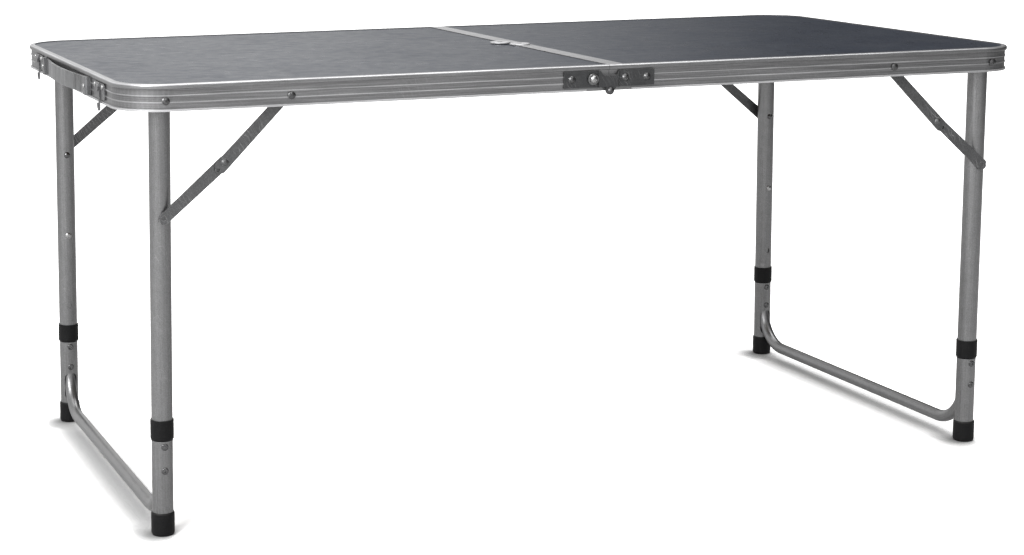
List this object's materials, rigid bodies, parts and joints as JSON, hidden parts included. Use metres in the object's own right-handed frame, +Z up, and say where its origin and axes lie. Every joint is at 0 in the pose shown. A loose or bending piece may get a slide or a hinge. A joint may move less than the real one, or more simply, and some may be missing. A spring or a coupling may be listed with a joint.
{
  "type": "folding table",
  "caption": "Folding camping table: two framed top halves hinged at the middle, with folding telescopic U-shaped leg pairs, jointed stays, latch hooks and a carrying handle.",
  "frame": {"origin": "on the floor, under the middle of the seam between the two top halves", "axes": "+X along the table from the handle end to the keeper end, +Y across it from the front to the rear, +Z up"},
  "size_m": [1.2124, 0.6166, 0.5371],
  "materials": {
    "rail_aluminium": "satin anodised extrusion",
    "board": "slate grey melamine film with a fine speckle on thin fibreboard",
    "leg_tube": "matt grey tube",
    "stay_steel": "matt plated strip",
    "hinge_steel": "dark galvanised plate",
    "plated_steel": "bright zinc plating",
    "disc_metal": "smooth silver",
    "handle_strap": "silver grey moulded strap",
    "black_plastic": "black moulded plastic"
  },
  "bodies": {
    "left_half": {"left_edge_rail": "rail_aluminium", "left_top_board": "board", "left_seam_rail": "rail_aluminium", "left_leg_pivot_screws": "plated_steel", "left_stay_pivots": "plated_steel", "left_hinge_leaves": "hinge_steel", "left_hinge_screws": "plated_steel", "left_seam_disc": "disc_metal", "hinge_stop_studs": "plated_steel", "hinge_stop_rollers": "plated_steel", "handle_strap": "handle_strap", "handle_end_caps": "handle_strap", "latch_plates": "plated_steel"},
    "right_half": {"right_edge_rail": "rail_aluminium", "right_top_board": "board", "right_seam_rail": "rail_aluminium", "right_leg_pivot_screws": "plated_steel", "right_stay_pivots": "plated_steel", "right_hinge_leaves": "hinge_steel", "right_hinge_screws": "plated_steel", "right_seam_disc": "disc_metal", "hinge_pins": "plated_steel", "latch_keepers": "plated_steel"},
    "left_legs": {"left_cross_tube": "leg_tube", "left_cross_tube_bushes": "black_plastic", "left_leg_top_caps": "black_plastic", "left_leg_collars": "black_plastic", "left_stay_rivets": "plated_steel", "front_left_leg_tube": "leg_tube", "rear_left_leg_tube": "leg_tube"},
    "left_lower_legs": {"left_u_bar": "leg_tube", "left_foot_tubes": "leg_tube", "left_foot_caps": "black_plastic", "left_spring_clips": "plated_steel"},
    "front_left_button": {"front_left_leg_button": "plated_steel"},
    "front_left_upper_link": {"front_left_upper_stay": "stay_steel"},
    "front_left_lower_link": {"front_left_lower_stay": "stay_steel"},
    "rear_left_button": {"rear_left_leg_button": "plated_steel"},
    "rear_left_upper_link": {"rear_left_upper_stay": "stay_steel"},
    "rear_left_lower_link": {"rear_left_lower_stay": "stay_steel"},
    "right_legs": {"right_cross_tube": "leg_tube", "right_cross_tube_bushes": "black_plastic", "right_leg_top_caps": "black_plastic", "right_leg_collars": "black_plastic", "right_stay_rivets": "plated_steel", "front_right_leg_tube": "leg_tube", "rear_right_leg_tube": "leg_tube"},
    "right_lower_legs": {"right_u_bar": "leg_tube", "right_foot_tubes": "leg_tube", "right_foot_caps": "black_plastic", "right_spring_clips": "plated_steel"},
    "front_right_button": {"front_right_leg_button": "plated_steel"},
    "front_right_upper_link": {"front_right_upper_stay": "stay_steel"},
    "front_right_lower_link": {"front_right_lower_stay": "stay_steel"},
    "rear_right_button": {"rear_right_leg_button": "plated_steel"},
    "rear_right_upper_link": {"rear_right_upper_stay": "stay_steel"},
    "rear_right_lower_link": {"rear_right_lower_stay": "stay_steel"},
    "front_hook": {"front_latch_hook": "plated_steel"},
    "rear_hook": {"rear_latch_hook": "plated_steel"}
  },
  "joints": [
    {"name": "centre_fold", "type": "hinge", "parent": "left_half", "child": "right_half", "pos_m": [0, 0, 0.504], "axis": [0, 1, 0], "range_deg": [0, 90]},
    {"name": "left_legs_fold", "type": "hinge", "parent": "left_half", "child": "left_legs", "pos_m": [-0.55, 0, 0.516], "axis": [0, -1, 0], "range_deg": [0, 91]},
    {"name": "left_legs_slide", "type": "slide", "parent": "left_legs", "child": "left_lower_legs", "axis": [0.0175, 0, 0.9998], "range_m": [-0.1, 0]},
    {"name": "front_left_upper_link_fold", "type": "hinge", "parent": "left_half", "child": "front_left_upper_link", "pos_m": [-0.402, -0.286, 0.516], "axis": [0, 1, 0], "range_deg": [0, 44.3]},
    {"name": "front_left_lower_link_fold", "type": "hinge", "parent": "left_legs", "child": "front_left_lower_link", "pos_m": [-0.55236, -0.284, 0.38052], "axis": [0, -1, 0], "range_deg": [0, 49.6]},
    {"name": "front_left_button_press", "type": "slide", "parent": "left_legs", "child": "front_left_button", "axis": [0, -1, 0], "range_m": [0, 0.002], "stiffness_N_per_m": 400},
    {"name": "rear_left_upper_link_fold", "type": "hinge", "parent": "left_half", "child": "rear_left_upper_link", "pos_m": [-0.402, 0.286, 0.516], "axis": [0, 1, 0], "range_deg": [0, 44.3]},
    {"name": "rear_left_lower_link_fold", "type": "hinge", "parent": "left_legs", "child": "rear_left_lower_link", "pos_m": [-0.55236, 0.284, 0.38052], "axis": [0, -1, 0], "range_deg": [0, 49.6]},
    {"name": "rear_left_button_press", "type": "slide", "parent": "left_legs", "child": "rear_left_button", "axis": [0, 1, 0], "range_m": [0, 0.002], "stiffness_N_per_m": 400},
    {"name": "right_legs_fold", "type": "hinge", "parent": "right_half", "child": "right_legs", "pos_m": [0.55, 0, 0.516], "axis": [0, 1, 0], "range_deg": [0, 91]},
    {"name": "right_legs_slide", "type": "slide", "parent": "right_legs", "child": "right_lower_legs", "axis": [-0.0175, 0, 0.9998], "range_m": [-0.1, 0]},
    {"name": "front_right_upper_link_fold", "type": "hinge", "parent": "right_half", "child": "front_right_upper_link", "pos_m": [0.402, -0.286, 0.516], "axis": [0, -1, 0], "range_deg": [0, 44.3]},
    {"name": "front_right_lower_link_fold", "type": "hinge", "parent": "right_legs", "child": "front_right_lower_link", "pos_m": [0.55236, -0.284, 0.38052], "axis": [0, 1, 0], "range_deg": [0, 49.6]},
    {"name": "front_right_button_press", "type": "slide", "parent": "right_legs", "child": "front_right_button", "axis": [0, -1, 0], "range_m": [0, 0.002], "stiffness_N_per_m": 400},
    {"name": "rear_right_upper_link_fold", "type": "hinge", "parent": "right_half", "child": "rear_right_upper_link", "pos_m": [0.402, 0.286, 0.516], "axis": [0, -1, 0], "range_deg": [0, 44.3]},
    {"name": "rear_right_lower_link_fold", "type": "hinge", "parent": "right_legs", "child": "rear_right_lower_link", "pos_m": [0.55236, 0.284, 0.38052], "axis": [0, 1, 0], "range_deg": [0, 49.6]},
    {"name": "rear_right_button_press", "type": "slide", "parent": "right_legs", "child": "rear_right_button", "axis": [0, 1, 0], "range_m": [0, 0.002], "stiffness_N_per_m": 400},
    {"name": "front_hook_swing", "type": "hinge", "parent": "left_half", "child": "front_hook", "pos_m": [-0.6008, -0.182, 0.522], "axis": [1, 0, 0], "range_deg": [-60, 60]},
    {"name": "rear_hook_swing", "type": "hinge", "parent": "left_half", "child": "rear_hook", "pos_m": [-0.6008, 0.182, 0.522], "axis": [1, 0, 0], "range_deg": [-60, 60]}
  ],
  "couplings": [
    {"joint": "front_left_upper_link_fold", "follows": "left_legs_fold", "ratio": 0.48517},
    {"joint": "front_left_lower_link_fold", "follows": "left_legs_fold", "ratio": 0.54278},
    {"joint": "rear_left_upper_link_fold", "follows": "left_legs_fold", "ratio": 0.48517},
    {"joint": "rear_left_lower_link_fold", "follows": "left_legs_fold", "ratio": 0.54278},
    {"joint": "front_right_upper_link_fold", "follows": "right_legs_fold", "ratio": 0.48517},
    {"joint": "front_right_lower_link_fold", "follows": "right_legs_fold", "ratio": 0.54278},
    {"joint": "rear_right_upper_link_fold", "follows": "right_legs_fold", "ratio": 0.48517},
    {"joint": "rear_right_lower_link_fold", "follows": "right_legs_fold", "ratio": 0.54278}
  ]
}
